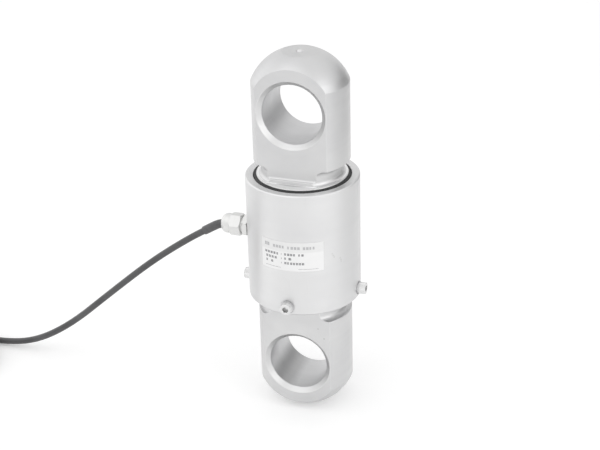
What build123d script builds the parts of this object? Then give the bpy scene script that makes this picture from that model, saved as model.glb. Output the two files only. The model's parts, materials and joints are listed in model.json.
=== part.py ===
from build123d import *

import math
import os

# Tension load cell for weighing. One machined steel bar carries a pin eye at each end and a
# gauged waist between two collars. A steel sleeve closes the waist, and a cable gland in the
# sleeve lets the signal cable out.
# The cell stands on the turned flat of its lower eye, and the origin is the middle of that
# flat. Z runs along the pull, from pin to pin. The pins lie along Y, the rating plate faces
# -Y and the cable leaves towards -X. Sizes are in millimetres. Heights inside the functions
# count from the middle of the bar, and the finished pieces are lifted by half its length.

# Load body: the bar and its two eyes
body_length = 275.5
eye_diameter = 69.0
eye_thickness = 46.4
pin_distance = 196.6
pin_bore = 43.6
pin_bore_chamfer = 3.3
dome_reach = 18.8
end_flat_diameter = 25.2
centre_hole_mouth = 5.0
centre_hole_pilot = 2.2
centre_hole_depth = 4.5
centre_hole_angle = 60.0

# Load body: necks between the eyes and the collars, and the steps at the feet of the flats
neck_diameter = 58.4
neck_length = 11.3
neck_collar_fillet = 3.2
neck_eye_fillet = 4.2
foot_step = 2.0
foot_height = 2.7
foot_cutter_radius = 1.6
edge_break = 0.4

# Reach of a cutting tool past the surface that it opens
overcut = 1.0

# Load body: collars and gauged waist
collar_stand_out = 1.25
upper_collar_diameter = 65.6
upper_collar_width = 12.4
lower_collar_width = 18.5
waist_diameter = 44.0
waist_across_flats = 34.0
waist_flat_length = 40.0
waist_fillet = 4.0

# Sleeve
sleeve_diameter = 82.0
sleeve_bore = 70.2
sleeve_length = 93.3
sleeve_slide_fit = 0.05
sleeve_outer_chamfer = 0.8
sleeve_inner_chamfer = 0.4

# Seals between the sleeve and the collars
upper_seal_height = 5.2
upper_seal_slope = 1.2
upper_seal_drop = 0.65
upper_seal_rib = 1.2
upper_seal_rib_width = 2.4
o_ring_squeeze_height = 3.3
o_ring_groove_depth = 2.4
o_ring_groove_width = 3.9
o_ring_edge = 2.6

# Sleeve screws: M5 socket heads on split spring washers
screw_count = 4
screw_height = 6.45
screw_thread = 5.0
screw_length = 16.0
screw_head_diameter = 8.5
screw_head_height = 5.0
screw_head_chamfer = 0.4
screw_socket = 4.0
screw_socket_depth = 2.6
screw_hole = 5.5
screw_hole_point = 2.5
thread_gap = 0.05
washer_diameter = 9.2
washer_bore = 5.2
washer_thickness = 1.2
washer_split = 0.9
washer_split_lean = 20.0
screw_seat_diameter = 10.4
screw_seat_depth = 0.5

# Cable gland: sizes along the gland count outwards from its seat on the sleeve
gland_offset = -0.5
gland_seat_diameter = 18.6
gland_seat_depth = 1.1
gland_thread = 12.0
gland_thread_length = 6.2
gland_across_flats = 15.0
gland_seal_diameter = 16.2
gland_seal_thickness = 1.5
gland_hex_height = 4.0
gland_neck_gap = 1.8
gland_outer_thread_length = 8.3
gland_body_bore = 6.4
gland_cage_bore = 9.6
gland_cage_floor = 1.5
hex_corner_trim = 0.25
hex_corner_height = 0.9
cage_gap = 0.05
cage_wall = 0.85
cage_flange = 0.6
cage_flange_height = 1.0
cage_nose_height = 2.3
cage_nose_taper = 1.1
cage_slit = 0.8
cage_slit_count = 8
nut_hex_height = 8.5
nut_dome_height = 6.7
nut_dome_straight = 2.4
nut_dome_inset = 0.1
nut_tip_diameter = 10.2
nut_mouth_bore = 8.2
nut_turn = -20.0
nut_mouth_flare = 0.8
nut_flare_depth = 1.6

# Rating plate: a bare foil stuck to the sleeve
plate_width = 46.4
plate_height = 22.3
plate_thickness = 0.25
plate_turn = 5.0

# Strain gauges, their covers and the wiring inside the sleeve
gauge_width = 8.0
gauge_height = 11.0
gauge_thickness = 0.2
cover_width = 14.0
cover_height = 15.0
cover_thickness = 1.6
cover_edge = 0.6
board_width = 22.0
board_height = 9.0
board_thickness = 1.6
board_gap = 2.0
resistor_count = 3
resistor_length = 3.2
resistor_width = 1.6
resistor_thickness = 0.7
resistor_pitch = 4.6
loom_diameter = 1.6
loom_gap = 0.15
loom_end_inset = 1.8
riser_diameter = 1.0
riser_gap = 0.2
inner_cable_length = 8.5
inner_core_diameter = 1.1
inner_core_pitch = 1.7
inner_core_spread = 3.0
inner_core_knee = 3.0
inner_core_inset = 2.2

# Signal cable: diameter, shrink sleeves and the put-away coil
cable_diameter = 5.0
core_diameter = 1.3
boot_thickness = 0.8
end_sleeve_thickness = 0.6
end_sleeve_length = 8.0
coil_layers = 4
coil_columns = 4
coil_mean_diameter = 57.0
coil_corner = 2.2
tie_count = 2
tie_turn = 38.0
tie_width = 3.6
tie_thickness = 1.1
tie_gap = 0.1
tie_corner = 2.0
tie_head = 5.2
tie_head_depth = 3.6
tie_head_sink = 0.2

# Route of the free cable, out of the gland, down to the floor and into the coil. Each corner
# has an arc that takes arc_share of the shorter run beside it.
arc_share = 0.45
inner_end_x = -54.0
boot_start_x = -57.4
boot_end_share = 0.27
cable_route = [
    (-54.0, 0.0, 137.25),
    (-63.0, 0.0, 137.25),
    (-74.2, 0.0, 130.65),
    (-93.5, 0.2, 118.2),
    (-124.2, 0.8, 95.1),
    (-161.4, 1.9, 61.9),
    (-199.0, 2.6, 27.6),
    (-232.5, 2.2, 7.2),
    (-263.0, 0.8, 2.6),
    (-293.0, 0.0, 4.2),
]
tail_route = [
    (-328.4, -35.4, 18.2),
    (-328.9, -51.5, 17.4),
    (-326.2, -67.5, 12.4),
    (-318.0, -80.5, 6.2),
    (-305.5, -88.3, 3.3),
    (-290.6, -89.9, 3.3),
]
coil_centre = (-293.0, -35.4)
lead_names = ["red", "black", "green", "white", "shield"]
lead_circle = 1.4
lead_places = [162.0, 234.0, 90.0, 306.0, 18.0]
lead_straight = 4.0
lead_fall_share = 0.35
lead_floor_gap = 0.05
lead_spread = [-28.0, -13.0, 3.0, 17.0, 33.0]
lead_reach = [41.0, 38.0, 43.0, 36.0, 30.0]

# Levels and radii that follow from the sizes above
half_length = body_length / 2
eye_radius = eye_diameter / 2
collar_end = sleeve_length / 2 + collar_stand_out
eye_start = collar_end + neck_length
dome_corner = pin_distance / 2 + dome_reach
waist_top = collar_end - upper_collar_width
waist_bottom = lower_collar_width - collar_end
gauge_level = (waist_top + waist_bottom) / 2
bore_radius = sleeve_bore / 2
lower_collar_radius = bore_radius - sleeve_slide_fit
upper_collar_radius = upper_collar_diameter / 2
sleeve_radius = sleeve_diameter / 2
screw_level = screw_height - sleeve_length / 2
screw_seat_radius = sleeve_radius - screw_seat_depth
o_ring_level = waist_bottom - o_ring_edge - o_ring_groove_width / 2
seal_top = collar_end - upper_seal_drop
seal_rib_level = seal_top - upper_seal_height / 2 - upper_seal_slope / 2
gland_seat = sleeve_radius - gland_seat_depth
face_radius = waist_across_flats / 2
cable_radius = cable_diameter / 2
lift = Pos(0, 0, half_length)
sides = {"front": -90, "right": 0, "rear": 90, "left": 180}


def rod(radius, bottom, top):
    """Upright cylinder between two heights."""
    return Pos(0, 0, (bottom + top) / 2) * Cylinder(radius, top - bottom)


def ring(outer, inner, bottom, top):
    """Upright tube between two heights."""
    return rod(outer, bottom, top) - rod(inner, bottom - overcut, top + overcut)


def cone(bottom_radius, top_radius, bottom, top):
    """Upright cone between two heights."""
    return Pos(0, 0, (bottom + top) / 2) * Cone(bottom_radius, top_radius, top - bottom)


def turned(points, radii=None):
    """Solid of revolution about Z of a closed outline of (radius, height) points."""
    corners = radii or [0] * len(points)
    outline = FilletPolyline(points, radius=corners, close=True)
    return revolve(Plane.XZ * make_face(outline), axis=Axis.Z)


def outward(angle, radius, height):
    """Place whose Z axis points away from the bar's axis, on the side that angle gives."""
    return Rot(0, 0, angle) * Pos(radius, 0, height) * Rot(0, 90, 0)


def dome_middle(low_radius, low, high_radius, high):
    """Point half way along the sphere's arc that joins two circles about the axis."""
    rise = high ** 2 - low ** 2 + high_radius ** 2 - low_radius ** 2
    centre = rise / (2 * (high - low))
    radius = math.hypot(low_radius, low - centre)
    first = math.atan2(low - centre, low_radius)
    last = math.atan2(high - centre, high_radius)
    middle = (first + last) / 2
    return radius * math.cos(middle), centre + radius * math.sin(middle)


def bar_outline():
    """Turned outline of the whole bar, with both domes, necks, collars and the waist."""
    end_radius = end_flat_diameter / 2
    neck = neck_diameter / 2
    waist = waist_diameter / 2
    crown_x, crown_z = dome_middle(eye_radius, dome_corner, end_radius, half_length)
    shaft = [
        (eye_radius, -dome_corner, 0),
        (eye_radius, -eye_start - edge_break, 0),
        (eye_radius - edge_break, -eye_start, 0),
        (neck, -eye_start, neck_eye_fillet),
        (neck, -collar_end, neck_collar_fillet),
        (lower_collar_radius - edge_break, -collar_end, 0),
        (lower_collar_radius, edge_break - collar_end, 0),
        (lower_collar_radius, waist_bottom - edge_break, 0),
        (lower_collar_radius - edge_break, waist_bottom, 0),
        (waist, waist_bottom, waist_fillet),
        (waist, waist_top, waist_fillet),
        (upper_collar_radius - edge_break, waist_top, 0),
        (upper_collar_radius, waist_top + edge_break, 0),
        (upper_collar_radius, collar_end, 0),
        (neck, collar_end, neck_collar_fillet),
        (neck, eye_start, neck_eye_fillet),
        (eye_radius - edge_break, eye_start, 0),
        (eye_radius, eye_start + edge_break, 0),
        (eye_radius, dome_corner, 0),
    ]
    points = [(x, z) for x, z, _ in shaft]
    radii = [corner for _, _, corner in shaft[1:-1]]
    return [
        Line((0, -half_length), (end_radius, -half_length)),
        ThreePointArc((end_radius, -half_length), (crown_x, -crown_z), points[0]),
        FilletPolyline(points, radius=radii),
        ThreePointArc(points[-1], (crown_x, crown_z), (end_radius, half_length)),
        Line((end_radius, half_length), (0, half_length)),
        Line((0, half_length), (0, -half_length)),
    ]


def milled_flat():
    """What the cutter takes off one side of the upper eye, down to the step at its foot."""
    half = eye_thickness / 2
    foot = half + foot_step
    far = eye_radius + overcut
    top = half_length + overcut
    foot_top = collar_end + foot_height
    points = [(-far, collar_end), (-foot, collar_end), (-foot, foot_top)]
    points += [(-half, foot_top), (-half, top), (-far, top)]
    outline = FilletPolyline(points, radius=[0, 0, 0, foot_cutter_radius, 0, 0], close=True)
    return extrude(Plane.YZ * make_face(outline), amount=far, both=True)


def pin_hole(height):
    """Bore for a pin along Y, with a chamfer at each flat."""
    half = eye_thickness / 2
    radius = pin_bore / 2
    inner = half - pin_bore_chamfer
    outer = half + overcut
    wide = radius + pin_bore_chamfer + overcut
    bore = rod(radius, -outer, outer) + cone(radius, wide, inner, outer)
    bore += cone(wide, radius, -outer, -inner)
    return Pos(0, 0, height) * Rot(90, 0, 0) * bore


def centre_hole():
    """Lathe centre in the upper end flat: a 60 degree mouth and a pilot."""
    mouth = centre_hole_mouth / 2
    pilot = centre_hole_pilot / 2
    slope = (mouth - pilot) / math.tan(math.radians(centre_hole_angle / 2))
    hole = cone(pilot, mouth, half_length - slope, half_length)
    return hole + rod(pilot, half_length - centre_hole_depth, half_length)


def load_body():
    """The bar: turned, then milled flat at the eyes and the waist, bored and tapped."""
    body = revolve(Plane.XZ * make_face(Curve() + bar_outline()), axis=Axis.Z)
    flat = milled_flat()
    upper = [flat, mirror(flat, about=Plane.XZ), centre_hole(), pin_hole(pin_distance / 2)]
    for tool in upper:
        body -= tool
        body -= mirror(tool, about=Plane.XY)
    shaving = Box(waist_diameter, waist_diameter, waist_flat_length)
    for angle in sides.values():
        reach = face_radius + waist_diameter / 2
        body -= Rot(0, 0, angle) * Pos(reach, 0, gauge_level) * shaving
    body -= ring(
        lower_collar_radius + overcut,
        lower_collar_radius - o_ring_groove_depth,
        o_ring_level - o_ring_groove_width / 2,
        o_ring_level + o_ring_groove_width / 2,
    )
    body -= ring(
        upper_collar_radius + overcut,
        upper_collar_radius - upper_seal_rib,
        seal_rib_level - upper_seal_rib_width / 2,
        seal_rib_level + upper_seal_rib_width / 2,
    )
    depth = washer_thickness + screw_seat_radius - screw_length - screw_hole_point
    tapped = rod(screw_thread / 2 + thread_gap, screw_seat_radius - screw_length, sleeve_radius)
    tapped += cone(0, screw_thread / 2 + thread_gap, depth, screw_seat_radius - screw_length)
    for turn in range(screw_count):
        angle = turn * 360 / screw_count
        body -= Rot(0, 0, angle) * Pos(0, 0, screw_level) * Rot(0, 90, 0) * tapped
    return body


def protective_sleeve():
    """Sleeve: slides over the upper eye, held on the lower collar by the radial screws."""
    top = sleeve_length / 2
    wall = sleeve_radius - bore_radius
    outer = sleeve_outer_chamfer
    inner = sleeve_inner_chamfer
    points = [
        (bore_radius, inner - top),
        (bore_radius + inner, -top),
        (sleeve_radius - outer, -top),
        (sleeve_radius, outer - top),
        (sleeve_radius, top - outer),
        (sleeve_radius - outer, top),
        (bore_radius + inner, top),
        (bore_radius, top - inner),
    ]
    sleeve = turned(points)
    for turn in range(screw_count):
        angle = turn * 360 / screw_count
        seat = outward(angle, screw_seat_radius, screw_level)
        sleeve -= seat * rod(screw_seat_diameter / 2, 0, screw_seat_depth + overcut)
        sleeve -= seat * rod(screw_hole / 2, -wall - overcut, overcut)
    seat = outward(180, gland_seat, gland_offset)
    sleeve -= seat * rod(gland_seat_diameter / 2, 0, gland_seat_depth + overcut)
    return sleeve - seat * rod(gland_thread / 2 + thread_gap, -wall - overcut, overcut)


def upper_seal_ring():
    """Rubber ring that closes the gap above, with a rib in the collar's groove."""
    bottom = seal_top - upper_seal_height
    rib = upper_collar_radius - upper_seal_rib
    low = seal_rib_level - upper_seal_rib_width / 2
    high = seal_rib_level + upper_seal_rib_width / 2
    return turned([
        (upper_collar_radius, bottom),
        (bore_radius, bottom),
        (bore_radius, seal_top - upper_seal_slope - sleeve_inner_chamfer),
        (upper_collar_radius, seal_top),
        (upper_collar_radius, high),
        (rib, high),
        (rib, low),
        (upper_collar_radius, low),
    ])


def lower_o_ring():
    """O-ring squeezed between the groove of the lower collar and the sleeve's bore."""
    floor = lower_collar_radius - o_ring_groove_depth
    width = bore_radius - floor
    section = Ellipse(width / 2, o_ring_squeeze_height / 2)
    place = Plane.XZ * Pos((floor + bore_radius) / 2, o_ring_level)
    return revolve(place * section, axis=Axis.Z)


def sleeve_screw():
    """Socket head screw along Z, with the underside of its head at zero."""
    radius = screw_head_diameter / 2
    brim = radius - screw_head_chamfer
    screw = turned([
        (0, -screw_length),
        (screw_thread / 2 - edge_break, -screw_length),
        (screw_thread / 2, edge_break - screw_length),
        (screw_thread / 2, 0),
        (radius, 0),
        (radius, screw_head_height - screw_head_chamfer),
        (brim, screw_head_height),
        (0, screw_head_height),
    ])
    socket = RegularPolygon(screw_socket / 2, 6, major_radius=False)
    cut = extrude(socket, screw_socket_depth + overcut)
    return screw - Pos(0, 0, screw_head_height - screw_socket_depth) * cut


def spring_washer():
    """Split spring washer, drawn tight, with its underside at zero."""
    washer = ring(washer_diameter / 2, washer_bore / 2, 0, washer_thickness)
    slot = Box(washer_diameter, washer_split, washer_diameter)
    return washer - Pos(washer_diameter / 2, 0, 0) * Rot(washer_split_lean, 0, 0) * slot


def around(piece, gap):
    """Copies of a screw's piece on every screw seat of the sleeve, gap above the seat."""
    count = range(screw_count)
    step = 360 / screw_count
    return [outward(k * step, screw_seat_radius + gap, screw_level) * piece for k in count]


def hexagon(bottom, top):
    """Hexagonal prism of the gland, with its corners trimmed by a cone at both ends."""
    half = gland_across_flats / 2
    corner = half / math.cos(math.radians(30))
    blank = turned([
        (0, bottom),
        (half + hex_corner_trim, bottom),
        (corner, bottom + hex_corner_height),
        (corner, top - hex_corner_height),
        (half + hex_corner_trim, top),
        (0, top),
    ])
    prism = extrude(RegularPolygon(half, 6, major_radius=False), top - bottom)
    return Pos(0, 0, bottom) * prism & blank


hex_top = gland_seal_thickness + gland_hex_height
outer_thread_top = hex_top + gland_outer_thread_length
cage_bottom = hex_top + gland_cage_floor
nut_bottom = hex_top + gland_neck_gap
nut_hex_top = nut_bottom + nut_hex_height
nut_tip = nut_hex_top + nut_dome_height
cage_radius = gland_cage_bore / 2 - cage_gap
cage_nose_bottom = outer_thread_top + cage_gap + cage_flange_height
cage_top = cage_nose_bottom + cage_nose_height


def gland_body():
    """Gland body: thread into the sleeve, hexagon, and the outer thread for the nut."""
    thread = gland_thread / 2
    body = rod(thread, -gland_thread_length, gland_seal_thickness)
    body += hexagon(gland_seal_thickness, hex_top)
    body += rod(thread - thread_gap, hex_top, outer_thread_top)
    top = outer_thread_top + overcut
    body -= rod(gland_body_bore / 2, -gland_thread_length - overcut, top)
    return body - rod(gland_cage_bore / 2, cage_bottom, top)


def gland_seal():
    """Flat ring between the hexagon and the sleeve."""
    return ring(gland_seal_diameter / 2, gland_thread / 2, 0, gland_seal_thickness)


def gland_cage():
    """Clamping cage: a plastic tube with fingers that the nut's cone closes on the seal."""
    inner = cage_radius - cage_wall
    flange = cage_radius + cage_flange
    flange_bottom = outer_thread_top + cage_gap
    cage = turned([
        (inner, cage_bottom + cage_gap),
        (cage_radius, cage_bottom + cage_gap),
        (cage_radius, flange_bottom),
        (flange, flange_bottom),
        (flange, cage_nose_bottom),
        (flange - cage_nose_taper, cage_top),
        (inner, cage_top),
    ])
    slit = Pos(cage_radius, 0, cage_nose_bottom + (cage_nose_height + overcut) / 2)
    slit *= Box(2 * cage_radius, cage_slit, cage_nose_height + overcut)
    for turn in range(cage_slit_count):
        cage -= Rot(0, 0, turn * 360 / cage_slit_count) * slit
    return cage


def gland_insert():
    """Rubber insert that grips the cable inside the cage."""
    inner = cage_radius - cage_wall
    return ring(inner, cable_radius, cage_bottom + cage_gap, cage_top - cage_gap)


def gland_dome_nut():
    """Dome nut: hexagon, rounded nose, and the cone inside that closes the cage."""
    half = gland_across_flats / 2
    crown = half - nut_dome_inset
    tip = nut_tip_diameter / 2
    brow = nut_hex_top + nut_dome_straight
    dome = make_face(Curve() + [
        Line((0, nut_hex_top), (crown, nut_hex_top)),
        Line((crown, nut_hex_top), (crown, brow)),
        TangentArc((crown, brow), (tip, nut_tip), tangent=(0, 1)),
        Line((tip, nut_tip), (0, nut_tip)),
        Line((0, nut_tip), (0, nut_hex_top)),
    ])
    nut = hexagon(nut_bottom, nut_hex_top) + revolve(Plane.XZ * dome, axis=Axis.Z)
    mouth = nut_mouth_bore / 2
    wide = cage_radius + cage_flange + 2 * cage_gap
    narrow = max(wide - cage_nose_taper, mouth)
    cone_top = cage_top + 2 * cage_gap
    nut -= rod(gland_thread / 2, nut_bottom - overcut, cage_nose_bottom + cage_gap)
    nut -= cone(wide, narrow, cage_nose_bottom + cage_gap, cone_top)
    nut -= rod(mouth, cone_top - cage_gap, nut_tip + overcut)
    return nut - cone(mouth, mouth + nut_mouth_flare, nut_tip - nut_flare_depth, nut_tip)


def rating_plate():
    """Bare foil plate, bent round the front of the sleeve."""
    sweep_angle = math.degrees(plate_width / sleeve_radius)
    low = plate_height / -2
    foil = ring(sleeve_radius + plate_thickness, sleeve_radius, low, -low)
    far = 2 * sleeve_radius
    rays = [math.radians(plate_turn - 90 + part * sweep_angle) for part in (-0.5, 0, 0.5)]
    rim = [(far * math.cos(ray), far * math.sin(ray)) for ray in rays]
    wedge = extrude(make_face(Polyline((0, 0), *rim, close=True)), plate_height, both=True)
    return foil & wedge


def strain_gauge():
    """Foil gauge on its carrier, its back at zero."""
    return Pos(0, 0, gauge_thickness / 2) * Box(gauge_height, gauge_width, gauge_thickness)


def gauge_cover():
    """Soft cover poured over a gauge, its back at zero."""
    cover = Pos(0, 0, cover_thickness / 2) * Box(cover_height, cover_width, cover_thickness)
    cover = chamfer(cover.faces().sort_by(Axis.Z)[-1].edges(), cover_edge)
    return cover - strain_gauge()


board_top = gauge_level - cover_height / 2 - board_gap
board_level = board_top - board_height / 2
board_face = face_radius + board_thickness


def terminal_board():
    """Terminal board, bonded to the left face of the waist under the gauge."""
    board = Pos(0, 0, board_thickness / 2) * Box(board_height, board_width, board_thickness)
    return outward(180, face_radius, board_level) * board


def trim_resistors():
    """Trim resistors in a row along the lower edge of the terminal board."""
    chip = Pos(0, 0, resistor_thickness / 2)
    chip *= Box(resistor_width, resistor_length, resistor_thickness)
    row = board_level - board_height / 2 + resistor_width
    places = [(k - (resistor_count - 1) / 2) * resistor_pitch for k in range(resistor_count)]
    return [outward(180, board_face, row) * Pos(0, y, 0) * chip for y in places]


def straight_wire(start, end, diameter):
    """Round wire from one point to another."""
    line = Line(start, end)
    return sweep(Plane(origin=start, z_dir=line % 0) * Circle(diameter / 2), path=line)


def bridge_loom():
    """Bundle of bridge wires: a hoop round the waist, with a riser to each gauge cover."""
    radius = loom_diameter / 2
    end_y = board_width / 2 - loom_end_inset
    hoop_radius = max(waist_diameter / 2, math.hypot(board_face, end_y)) + radius + loom_gap
    end_x = -math.sqrt(hoop_radius ** 2 - end_y ** 2)
    hoop = ThreePointArc(
        (end_x, end_y, board_level), (hoop_radius, 0, board_level), (end_x, -end_y, board_level)
    )
    start = Plane(origin=hoop @ 0, z_dir=hoop % 0)
    loom = sweep(start * Circle(radius), path=hoop)
    for y in (end_y, -end_y):
        loom += straight_wire((-board_face, y, board_level), (end_x, y, board_level), loom_diameter)
        loom += Pos(end_x, y, board_level) * Sphere(radius)
    riser_top = gauge_level - cover_height / 2 - riser_gap
    riser_x = face_radius + cover_thickness / 2
    riser = straight_wire((riser_x, 0, riser_top), (hoop_radius, 0, board_level), riser_diameter)
    for name in ("front", "right", "rear"):
        loom += Rot(0, 0, sides[name]) * riser
    return loom


def left_riser():
    """Short leads of the left gauge, from its cover down to the terminal board."""
    x = -face_radius - board_thickness / 2
    top = gauge_level - cover_height / 2
    return straight_wire((x, 0, board_top), (x, 0, top), riser_diameter)


inner_stop = 0.1 - bore_radius + inner_cable_length / 2


def cable_inner_end():
    """End of the cable's jacket inside the gland and the sleeve."""
    level = (gland_offset,)
    return straight_wire((inner_end_x, 0, *level), (inner_stop, 0, *level), cable_diameter)


def inner_cores():
    """Stripped cores, from the end of the jacket to the terminal board."""
    cores = []
    end_z = board_top - inner_core_inset
    knee_x = (inner_stop - board_face) / 2
    for side in (-1, 1):
        for row, reach in ((-1, 1), (1, 2)):
            start_y = side * inner_core_pitch / 2
            start_z = gland_offset + row * inner_core_pitch / 2
            end_y = side * reach * inner_core_spread
            cores.append(cord_tube([
                (inner_stop, start_y, start_z),
                (knee_x - inner_core_knee / 2, start_y, start_z),
                (knee_x + inner_core_knee / 2, end_y, end_z),
                (-board_face, end_y, end_z),
            ], inner_core_diameter))
    return cores


def corner_radii(points):
    """Largest arcs that the runs of a route allow, one for each of its inner corners."""
    radii = []
    for before, corner, after in zip(points, points[1:], points[2:]):
        first = Vector(*corner) - Vector(*before)
        second = Vector(*after) - Vector(*corner)
        half_turn = math.radians(first.get_angle(second)) / 2
        shorter = min(first.length, second.length)
        radii.append(arc_share * shorter / math.tan(half_turn))
    return radii


def cord_path(points, radii):
    """Straight runs joined by tangent arcs."""
    return FilletPolyline([Vector(*p) for p in points], radius=radii)


def cord_tube(points, diameter):
    """Round cord along a route."""
    path = cord_path(points, corner_radii(points))
    start = Plane(origin=path @ 0, z_dir=path % 0)
    return sweep(start * Circle(diameter / 2), path=path)


def sleeve_on(points, radii, outer):
    """Shrink sleeve round the cable along part of its route."""
    path = cord_path(points, radii)
    start = Plane(origin=path @ 0, z_dir=path % 0)
    wall = start * (Circle(outer) - Circle(cable_radius))
    return sweep(wall, path=path)


def between(start, end, share):
    """Point part of the way from one point to another."""
    return tuple(a + share * (b - a) for a, b in zip(start, end))


def cable_boot():
    """Shrink boot on the cable, from inside the nut's mouth to its cut end."""
    radii = corner_radii(cable_route)[:2]
    end = between(cable_route[2], cable_route[3], boot_end_share)
    first = (boot_start_x, *cable_route[0][1:])
    return sleeve_on([first, *cable_route[1:3], end], radii, cable_radius + boot_thickness)


def cable_end_sleeve():
    """Shrink sleeve at the far end of the cable, where the cores come out."""
    last, end = tail_route[-2:]
    run = (Vector(*end) - Vector(*last)).length
    start = between(last, end, 1 - end_sleeve_length / run)
    jacket = cable_diameter + 2 * end_sleeve_thickness
    return straight_wire(start, end, jacket) - straight_wire(start, end, cable_diameter)


coil_width = coil_columns * cable_diameter
coil_height = coil_layers * cable_diameter
coil_base = tie_thickness + tie_gap
coil_radius = coil_mean_diameter / 2
coil_level = coil_base + coil_height / 2


def cable_coil():
    """Outer shape of the wound cable, open where the route enters and where the tail leaves."""
    section = RectangleRounded(coil_width, coil_height, coil_corner)
    body = revolve(Plane.XZ * Pos(coil_radius, coil_level) * section, axis=Axis.Z)
    coil = Pos(*coil_centre, 0) * body
    coil -= cord_tube(cable_route[-3:], cable_diameter)
    return coil - cord_tube(tail_route[:3], cable_diameter)


def coil_tie():
    """Cable tie round the bundle, at the right of the coil: strap and head."""
    inner_width = coil_width + 2 * tie_gap
    inner_height = coil_height + 2 * tie_gap
    outer_width = inner_width + 2 * tie_thickness
    outer_height = inner_height + 2 * tie_thickness
    outer = RectangleRounded(outer_width, outer_height, tie_corner)
    strap = extrude(outer - Rectangle(inner_width, inner_height), tie_width / 2, both=True)
    strap = Plane.XZ * Pos(coil_radius, coil_level) * strap
    head_x = coil_radius + (coil_width - tie_head) / 2
    head_z = coil_level + (outer_height + tie_head_depth) / 2 - tie_head_sink
    return strap + Pos(head_x, 0, head_z) * Box(tie_head, tie_head, tie_head_depth)


def coil_ties():
    """Cable ties, evenly spaced round the coil."""
    step = 360 / tie_count
    turns = [Rot(0, 0, k * step - tie_turn) for k in range(tie_count)]
    return [Pos(*coil_centre, 0) * turn * coil_tie() for turn in turns]


def lead(k):
    """One stripped core of the far end, fanned out on the floor."""
    last, end = (Vector(*p) for p in tail_route[-2:])
    ahead = (end - last).normalized()
    across = Vector(-ahead.Y, ahead.X, 0)
    place = math.radians(lead_places[k])
    start = end + across * lead_circle * math.cos(place) + Vector(0, 0, lead_circle * math.sin(place))
    angle = math.radians(lead_spread[k])
    away = ahead * math.cos(angle) + across * math.sin(angle)
    rest = core_diameter / 2 + lead_floor_gap
    first = start + ahead * lead_straight
    second = first + away * lead_reach[k] * lead_fall_share
    third = first + away * lead_reach[k]
    route = [start, first, Vector(second.X, second.Y, rest), Vector(third.X, third.Y, rest)]
    return cord_tube([tuple(point) for point in route], core_diameter)


def build():
    """Every piece of the load cell, by name, each one or more separate solids."""
    gland = outward(180, gland_seat, gland_offset)
    pieces = {
        "load_body": [load_body()],
        "protective_sleeve": [protective_sleeve()],
        "upper_seal_ring": [upper_seal_ring()],
        "lower_o_ring": [lower_o_ring()],
        "sleeve_screws": around(sleeve_screw(), washer_thickness),
        "spring_washers": around(spring_washer(), 0),
        "rating_plate": [rating_plate()],
        "gland_body": [gland * gland_body()],
        "gland_seal": [gland * gland_seal()],
        "gland_cage": [gland * gland_cage()],
        "gland_insert": [gland * gland_insert()],
        "gland_dome_nut": [gland * Rot(0, 0, nut_turn) * gland_dome_nut()],
        "terminal_board": [terminal_board()],
        "trim_resistors": trim_resistors(),
        "bridge_loom": [bridge_loom(), left_riser()],
        "cable_inner_end": [cable_inner_end()],
        "inner_cores": inner_cores(),
    }
    for name, angle in sides.items():
        face = outward(angle, face_radius, gauge_level)
        pieces[name + "_gauge"] = [face * strain_gauge()]
        pieces[name + "_gauge_cover"] = [face * gauge_cover()]
    pieces = {name: [lift * solid for solid in solids] for name, solids in pieces.items()}
    pieces["cable"] = [cord_tube(cable_route, cable_diameter)]
    pieces["cable_boot"] = [cable_boot()]
    pieces["cable_coil"] = [cable_coil()]
    pieces["coil_ties"] = coil_ties()
    pieces["cable_tail"] = [cord_tube(tail_route, cable_diameter)]
    pieces["cable_end_sleeve"] = [cable_end_sleeve()]
    for k, name in enumerate(lead_names):
        pieces["lead_" + name] = [lead(k)]
    return pieces


os.makedirs("parts", exist_ok=True)
for name, solids in build().items():
    whole = solids[0] if len(solids) == 1 else Compound(children=solids)
    export_step(whole, f"parts/{name}.step")
for label, route in (("cable", cable_route), ("tail", tail_route)):
    path = cord_path(route, corner_radii(route))
    tube = cord_tube(route, cable_diameter)
    share = tube.volume / (math.pi * cable_radius ** 2 * path.length)
    radii = ", ".join(f"{radius:.1f}" for radius in corner_radii(route))
    print(f"{label}: length {path.length:.1f}, corner radii {radii}, volume share {share:.4f}")
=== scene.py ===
import json
import math

import bmesh
import bpy
from mathutils import Matrix, Vector


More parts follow.
